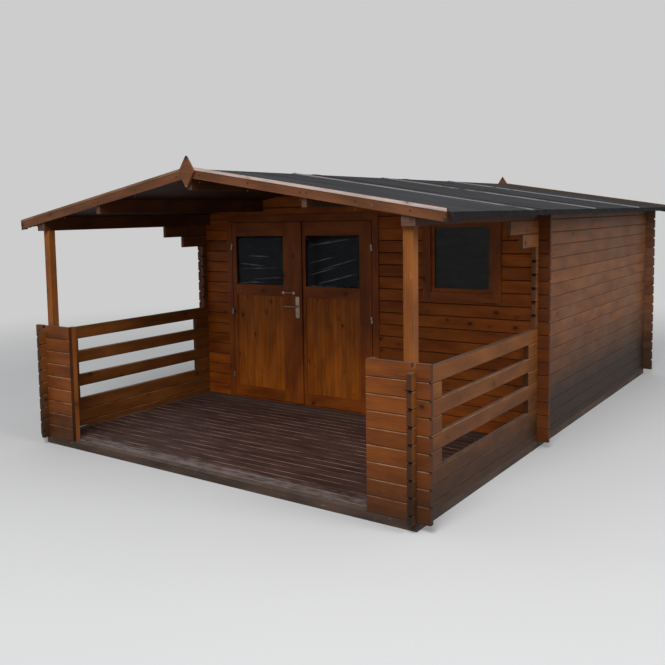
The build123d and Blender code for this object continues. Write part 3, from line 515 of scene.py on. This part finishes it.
finishes = (
    (pier_logs, "left_pier", "right_pier"),
    (back_logs, "back_wall"),
    (porch_logs, "front_wall_left", "front_wall_right", "front_gable"),
    (side_logs, "left_wall", "right_wall"),
    (rail_logs, "left_balustrade", "right_balustrade"),
    (joinery, "door_frame", "left_door_frame", "right_door_frame", "window_frame"),
    (left_panel, "left_door_boards"),
    (right_panel, "right_door_boards"),
    (posts, "left_post", "right_post", "left_batten", "right_batten"),
    (beams, "left_eave_beam", "right_eave_beam", "ridge_purlin", "left_purlin", "right_purlin"),
    (roof_boards, "left_roof_boards", "right_roof_boards"),
    (trim, "front_barge_left", "front_barge_right", "back_barge_left", "back_barge_right", "front_finial",
     "back_finial"),
    (sills, "floor_frame"),
    (deck, "deck_boards"),
    (cabin_boards, "cabin_floor"),
    (felt, "left_felt", "right_felt"),
    (nickel, "door_plate", "door_lever", "door_bolt"),
    (panes[0], "left_door_glass", "right_door_glass"),
    (panes[1], "window_glass"),
)
for material, *names in finishes:
    for name in names:
        nodes[name].data.materials.clear()
        nodes[name].data.materials.append(material)

# Hinge knuckles on the frame and the leaves are steel: the short faces that stand proud near a hinge line
knuckle_reach, knuckle_proud, knuckle_high = 0.0125, 0.0005, 0.05
for name in ("door_frame", "left_door_frame", "right_door_frame"):
    mesh = nodes[name].data
    mesh.materials.append(zinc)
    for face in mesh.polygons:
        heights = [mesh.vertices[v].co.z for v in face.vertices]
        near = min(abs(face.center.x - x) for x in hinge_x) < knuckle_reach
        if near and face.center.y < leaf_y - knuckle_proud and max(heights) - min(heights) < knuckle_high:
            face.material_index = 1


def only(pieces):
    """Selects these pieces alone and makes the first one active."""
    bpy.ops.object.select_all(action="DESELECT")
    for piece in pieces:
        piece.select_set(True)
    bpy.context.view_layer.objects.active = pieces[0]


def block(name, low, high, turn=0.0):
    """Starts a piece as a block between two corners, turned about Y where a roof slope needs it."""
    bpy.ops.object.select_all(action="DESELECT")
    bpy.ops.mesh.primitive_cube_add(size=1, location=[(a + b) / 2 for a, b in zip(low, high)],
                                    scale=[b - a for a, b in zip(low, high)], rotation=(0, turn, 0))
    bpy.ops.object.transform_apply(location=True, rotation=True, scale=True)
    piece = bpy.context.object
    piece.name = piece.data.name = name
    return piece


def roof_strip(name, side, y, z, wide, high):
    """Starts a strip that runs down one slope and past both its ends; y and z are those of its middle."""
    middle = (side * eave_x / 2, y, z)
    half = (eave_x / 2 / math.cos(slope_angle) + 0.05, wide / 2, high / 2)
    return block(name, [m - h for m, h in zip(middle, half)], [m + h for m, h in zip(middle, half)],
                 side * slope_angle)


def cut_ends(side, near, far):
    """Cuts the piece in hand upright, this far from the ridge line, and stays in edit mode."""
    bpy.ops.object.mode_set(mode="EDIT")
    for cut_x, way in ((side * near, -side), (side * far, side)):
        bpy.ops.mesh.select_all(action="SELECT")
        bpy.ops.mesh.bisect(plane_co=(cut_x, 0, 0), plane_no=(way, 0, 0), use_fill=True, clear_outer=True)


def pick(piece, test, kind="FACE"):
    """Goes into edit mode with the faces, or the edges, whose middle and direction pass the test selected."""
    bpy.ops.object.mode_set(mode="EDIT")
    bpy.ops.mesh.select_mode(type=kind)
    bpy.ops.mesh.select_all(action="DESELECT")
    bpy.ops.object.mode_set(mode="OBJECT")
    if kind == "FACE":
        for face in piece.data.polygons:
            face.select = test(face.center, face.normal)
    else:
        for edge in piece.data.edges:
            a, b = (piece.data.vertices[v].co for v in edge.vertices)
            edge.select = test((a + b) / 2, (b - a).normalized())
    bpy.ops.object.mode_set(mode="EDIT")


def join(pieces, name):
    """Joins the pieces into the first one."""
    bpy.ops.object.mode_set(mode="OBJECT")
    only(pieces)
    bpy.ops.object.join()
    pieces[0].name = pieces[0].data.name = name


def copies(piece, name, moves):
    """Copies a shaped piece, each with a mesh of its own, and joins the lot."""
    bpy.ops.object.mode_set(mode="OBJECT")
    made = [piece]
    for move in moves:
        other = piece.copy()
        other.data = piece.data.copy()
        other.data.transform(Matrix.Translation(move))
        bpy.context.scene.collection.objects.link(other)
        made.append(other)
    join(made, name)


def thin_piece(name, points, outer, inner, thickness, folds=None):
    """A sheet through a grid of points, outer + 1 rows of inner + 1 points, thickened both ways. folds is how
    sharply each point is folded, for the finish; a sheet that has them is smooth."""
    corners = (row * (inner + 1) + i for row in range(outer) for i in range(inner))
    mesh = bpy.data.meshes.new(name)
    mesh.from_pydata(points, [], [(a, a + 1, a + inner + 2, a + inner + 1) for a in corners])
    piece = bpy.data.objects.new(name, mesh)
    bpy.context.scene.collection.objects.link(piece)
    only([piece])
    if folds:
        mesh.attributes.new("fold", "FLOAT", "POINT").data.foreach_set("value", folds)
        bpy.ops.object.shade_smooth()
    solid = piece.modifiers.new("thickness", "SOLIDIFY")
    solid.thickness = thickness
    solid.offset = 0
    bpy.ops.object.modifier_apply(modifier="thickness")
    return piece


def done(piece, material, body):
    """Ends edit mode, gives finish and body."""
    bpy.ops.object.mode_set(mode="OBJECT")
    piece.data.materials.clear()
    piece.data.materials.append(material)
    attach(piece, body)


# Decking and cabin floor: boards with eased edges, 3 mm apart
joint_half, deck_ease, floor_ease = 0.0015, 0.004, 0.0015
for name, node, low, high, pitch, count, ease, material in (
        ("decking", "deck_boards", deck_low, deck_high, deck_pitch, deck_count, deck_ease, deck),
        ("cabin_floor_boards", "cabin_floor", floor_low, floor_high, floor_pitch, floor_count, floor_ease,
         cabin_boards)):
    board = block(name, (low.x, low.y + joint_half, low.z), (high.x, low.y + pitch - joint_half, high.z))
    pick(board, lambda spot, way: abs(way.x) > 0.9 and spot.z > high.z - 0.001, "EDGE")
    bpy.ops.mesh.bevel(offset=ease, segments=2)
    copies(board, name, [(0, pitch * i, 0) for i in range(1, count)])
    done(board, material, "cabin")
    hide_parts(node)

# Thin strip along each roof edge, on the face of the barge board. Its size, how high its middle lies over the
# roof boards, how far it stays off the ridge line and short of the eave, and how much its edges are eased
strip_t, strip_h, strip_lift = 0.0035, 0.020, 0.0093
strip_off_ridge, strip_short, strip_ease = 0.004, 0.025, 0.0008
for end, face_y, away in verges:
    for side, word in sides:
        strip = roof_strip(f"{end}_edge_strip_{word}", side, face_y + away * strip_t / 2,
                           over(eave_x / 2, roof_board_t) + strip_lift, strip_t, strip_h)
        cut_ends(side, strip_off_ridge, eave_x - strip_short)
        bpy.ops.mesh.select_all(action="SELECT")
        bpy.ops.mesh.bevel(offset=strip_ease, segments=1)
        done(strip, white_edge if side > 0 else brown_edge, "cabin")

# Edge of each felt strip, nailed down and lifted between the nails, with a bare pale lip. Its size, how deep it
# lies in the felt, how far it stays off the ridge line and goes past the eave, and how much of its height the
# back edge loses
lap_wide, lap_high, lap_sunk = 0.055, 0.011, 0.001
lap_off_ridge, lap_past_eave, lap_thinned = 0.001, 0.006, 0.7
# How far apart the nails of a lap are, with random draws to spare, and the cuts that let it bend between them.
# What lies higher than free_height over the roof boards is free to lift
nail_step, nail_draws, lap_cuts, free_height = 0.16, 40, 26, 0.006
for side, word in sides:
    laps = []
    for number, lap in enumerate(felt_laps):
        chance = random.Random(20 + 10 * number + side)
        lap_y = roof_y0 + lap
        lap_z = over(eave_x / 2, roof_board_t + felt_t) + lap_high / 2 - lap_sunk
        strip = roof_strip(f"{word}_felt_lap", side, lap_y, lap_z, lap_wide, lap_high)
        # the back edge is thinned down to the felt
        pick(strip, lambda spot, way: abs(way.x) > 0.9 and spot.y > lap_y and spot.z > lap_z, "EDGE")
        bpy.ops.transform.translate(value=(0, 0, -lap_high * lap_thinned))
        cut_ends(side, lap_off_ridge, eave_x + lap_past_eave)
        pick(strip, lambda spot, way: abs(way.x) > 0.9, "EDGE")
        bpy.ops.mesh.subdivide(number_cuts=lap_cuts)
        bpy.ops.object.mode_set(mode="OBJECT")
        lifts = [chance.uniform(-0.0035, 0.0015) for _ in range(nail_draws)]
        sways = [chance.uniform(-0.008, 0.008) for _ in range(nail_draws)]
        for vertex in strip.data.vertices:
            nail = abs(vertex.co.x) / nail_step
            low, part = int(nail), nail - int(nail)
            if vertex.co.z > over(vertex.co.x, roof_board_t) + free_height:
                vertex.co.z += lifts[low] * (1 - part) + lifts[low + 1] * part
            vertex.co.y += sways[low] * (1 - part) + sways[low + 1] * part
        laps.append(strip)
    join(laps, f"{word}_felt_laps")
    done(laps[0], worn_lap, "cabin")

# Torn, turned-down edge of the felt along each eave, with rags at the laps and a loose fold at the front corner.
# Its thickness, how far it stays short of the roof's ends, its top, how far it hangs, and the reach along the
# eave of a rag and of the fold
torn_t, torn_short, torn_top = 0.0016, 0.004, under(eave_x) + 0.014
hang, rag_reach, rag_lead, fold_reach = 0.030, 0.045, 0.01, 0.13
columns, rows = 320, 3
for side, word in sides:
    chance = random.Random(7 + side)
    points = []
    for i in range(columns + 1):
        y = roof_y0 + torn_short + (roof_y1 - roof_y0 - 2 * torn_short) * i / columns
        torn = hang + chance.uniform(-0.004, 0.006)
        for lap in felt_laps:
            torn += chance.uniform(0.006, 0.024) * math.exp(-((y - roof_y0 - lap + rag_lead) / rag_reach) ** 2)
        torn += chance.uniform(0.030, 0.038) * max(0.0, 1 - (y - roof_y0) / fold_reach) ** 0.7
        puff = 0.0008 * math.sin(y * 19) + chance.uniform(-0.0003, 0.0003)
        for j in range(rows + 1):
            points.append((side * (eave_x + felt_t + torn_t + puff * j / rows), y, torn_top - torn * j / rows))
    rag = thin_piece(f"{word}_felt_torn_edge", points, columns, rows, torn_t)
    done(rag, felt, "cabin")

# Nail heads in pairs where the barge boards meet the ridge, the purlins and the eave beams. The size of a head,
# how far its middle stands proud and lies below the roof boards, and the width and height of its domed rim
nail_x = (0.115, 0.56, 1.0, 1.05, 1.42, 1.80)
nail_drops = (0.0, -0.052)
nail_r, nail_h, nail_proud, nail_below, nail_rim, nail_dome = 0.0055, 0.003, 0.0008, 0.012, 0.0016, 0.0007
for end, face_y, away in verges:
    bpy.ops.object.select_all(action="DESELECT")
    bpy.ops.mesh.primitive_cylinder_add(
        vertices=12, radius=nail_r, depth=nail_h, rotation=(math.pi / 2, 0, 0),
        location=(nail_x[0], face_y + away * nail_proud, under(nail_x[0]) - nail_below))
    bpy.ops.object.transform_apply(location=True, rotation=True, scale=True)
    head = bpy.context.object
    pick(head, lambda spot, way: way.y * away > 0.9)
    bpy.ops.mesh.inset(thickness=nail_rim)
    bpy.ops.transform.translate(value=(0, away * nail_dome, 0))
    copies(head, f"{end}_barge_nails", [
        (side * x - nail_x[0], 0, under(x) - under(nail_x[0]) + drop)
        for x in nail_x for drop in nail_drops for side in (-1, 1) if (side * x, drop) != (nail_x[0], 0.0)])
    done(head, rusty_nail, "cabin")


def hung_sheet(name, leaf, pane, top, slant, creases, seed):
    """Thin sheeting hung behind a pane. top is its top edge, which slants up to the right by slant; creases are
    folds between two points of it, in parts of its size, and how far each stands out."""
    columns, rows, waves_count = 110, 90, 5
    # how far the sheet stays inside the pane's edges and behind it, how wide a crease is, how far forward the
    # sheet may come, how high its slack waves are, and its thickness
    margin, behind, crease_w, forward, wave_high, sheet_t = 0.002, 0.0125, 0.006, 0.0105, 0.0008, 0.0004
    chance = random.Random(seed)
    waves = [(chance.uniform(3, 9), chance.uniform(2, 7), chance.uniform(0, 6.28)) for _ in range(waves_count)]
    glass_low, glass_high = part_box(pane)
    x0, x1, z0 = glass_low.x + margin, glass_high.x - margin, glass_low.z + margin
    wide, tall = x1 - x0, top - z0
    points, folds = [], []
    for j in range(rows + 1):
        for i in range(columns + 1):
            u, v = i / columns, j / rows
            push = 0.0
            for ax, az, bx, bz, size in creases:
                run = Vector(((bx - ax) * wide, (bz - az) * tall))
                way = Vector(((u - ax) * wide, (v - az) * tall))
                t = max(0.0, min(1.0, way.dot(run) / run.length_squared))
                away = (way - t * run).length
                push += size * math.sin(math.pi * t) ** 0.5 * math.exp(-(away / crease_w) ** 2)
            folds.append(min(1.0, push / crease_w) ** 2)
            for fu, fv, turn in waves:
                push += wave_high * math.sin(fu * u * 3 + fv * v * 2 + turn)
            points.append((x0 + wide * u, glass_high.y + behind - min(push, forward),
                           z0 + (tall + slant * (u - 0.5)) * v))
    piece = thin_piece(name, points, rows, columns, sheet_t, folds)
    done(piece, sheeting, leaf)


hung_sheet("left_pane_sheet", "left_leaf", "left_door_glass", top=1.770, slant=0.0, seed=3, creases=[
    (0.22, 0.62, 0.72, 0.60, 0.006), (0.02, 0.46, 0.62, 0.40, 0.007), (0.03, 0.34, 0.85, 0.37, 0.006),
    (0.30, 0.12, 0.95, 0.18, 0.007), (0.20, 0.08, 0.70, 0.04, 0.006), (0.02, 0.03, 0.45, 0.05, 0.009)])
hung_sheet("right_pane_sheet", "right_leaf", "right_door_glass", top=1.760, slant=0.050, seed=8, creases=[
    (0.05, 0.52, 0.55, 0.64, 0.006), (0.05, 0.26, 0.62, 0.44, 0.007), (0.18, 0.36, 0.95, 0.58, 0.006),
    (0.15, 0.06, 0.95, 0.30, 0.008), (0.02, 0.03, 0.60, 0.02, 0.009), (0.05, 0.90, 0.80, 0.96, 0.009)])


def seen_rays(tree):
    """1 for rays that show a surface to the camera, in a mirror or through glass, 0 for its light on others."""
    path = add(tree, "ShaderNodeLightPath").node.outputs
    return add(tree, "ShaderNodeMath", maximum, {0: path["Is Camera Ray"], 1: add(
        tree, "ShaderNodeMath", maximum, {0: path["Is Glossy Ray"], 1: path["Is Transmission Ray"]})})


# Floor: pale where it is seen, darker in the light that it throws back
backdrop = colour("CDCDCD")
floor_radius = 60
bpy.ops.object.select_all(action="DESELECT")
bpy.ops.mesh.primitive_circle_add(vertices=96, radius=floor_radius, fill_type="NGON", location=(0, 0, 0))
floor = bpy.context.object
floor.name = "studio_floor"
paper, tree, shader, place = start("pale_floor", Roughness=0.9, Specular_IOR_Level=0.2)
speck = add(tree, "ShaderNodeTexNoise", None, {"Vector": place, "Scale": 0.6, "Detail": 2.0})
seen = seen_rays(tree)
pale = add(tree, "ShaderNodeMix", rgba, {0: speck, 6: colour("C6C6C6"), 7: colour("C9C9C9")}, 2)
plug(tree, shader, Base_Color=add(tree, "ShaderNodeMix", rgba, {0: seen, 6: colour("8A8A8A"), 7: pale}, 2))
# far from the object the floor has the backdrop's own colour, so that no line shows between them
far = add(tree, "ShaderNodeVectorMath", {"operation": "LENGTH"}, {0: place}, "Value")
blend = add(tree, "ShaderNodeMath", multiply, {0: seen, 1: add(
    tree, "ShaderNodeMapRange", smooth, {0: far, 1: 4.2, 2: 11.0})})
glow = add(tree, "ShaderNodeEmission", None, {"Color": backdrop, "Strength": 1.0})
tree.links.new(add(tree, "ShaderNodeMixShader", None, {0: blend, 1: shader.outputs[0], 2: glow}),
               tree.nodes["Material Output"].inputs["Surface"])
floor.data.materials.append(paper)

# Overcast sky as light, a plain backdrop to the eye
world = bpy.data.worlds.new("overcast_studio")
bpy.context.scene.world = world
world.use_nodes = True
sky = world.node_tree
sky.nodes.clear()
dome = add(sky, "ShaderNodeBackground", None, {"Color": colour("F2F4F7"), "Strength": 0.55})
wall = add(sky, "ShaderNodeBackground", None, {"Color": backdrop, "Strength": 1.0})
both = add(sky, "ShaderNodeMixShader", None, {0: seen_rays(sky), 1: dome, 2: wall})
sky.links.new(both, sky.nodes.new("ShaderNodeOutputWorld").inputs["Surface"])

# Two large soft lamps, aimed at the middle of the front
lamp_size, lamp_aim = 7.0, Vector((0, -0.3, 1))
for name, spot, watts in (("key", (3.5, -11.0, 10.0), 1250), ("fill", (12.0, -2.0, 8.0), 700)):
    data = bpy.data.lights.new(name, "AREA")
    data.shape = "DISK"
    data.size = lamp_size
    data.energy = watts
    lamp = bpy.data.objects.new(name, data)
    lamp.location = spot
    lamp.rotation_euler = (lamp_aim - Vector(spot)).to_track_quat("-Z", "Y").to_euler()
    bpy.context.scene.collection.objects.link(lamp)

# Camera, solved from the photograph: focal length in pixels of its width, shift, place, and turn in degrees
focal_px, picture_px, sensor_mm = 802.332, 665, 36
shift = (0.1283, -0.0595)
camera_at = (4.038, -7.512, 1.981)
yaw, pitch, roll = (math.radians(v) for v in (38.4636, 5.3512, -1.3659))
camera_data = bpy.data.cameras.new("camera")
camera_data.sensor_width = sensor_mm
camera_data.lens = sensor_mm * focal_px / picture_px
camera_data.shift_x, camera_data.shift_y = shift
camera = bpy.data.objects.new("camera", camera_data)
bpy.context.scene.collection.objects.link(camera)
ahead = Vector((-math.sin(yaw) * math.cos(pitch), math.cos(yaw) * math.cos(pitch), -math.sin(pitch)))
level_right = Vector((math.cos(yaw), math.sin(yaw), 0))
level_down = Vector((math.sin(yaw) * math.sin(pitch), -math.cos(yaw) * math.sin(pitch), -math.cos(pitch)))
right = math.cos(roll) * level_right - math.sin(roll) * level_down
down = math.sin(roll) * level_right + math.cos(roll) * level_down
camera.matrix_world = Matrix.Translation(camera_at) @ Matrix((right, -down, -ahead)).transposed().to_4x4()
bpy.context.scene.camera = camera
bpy.context.scene.view_settings.view_transform = "Standard"
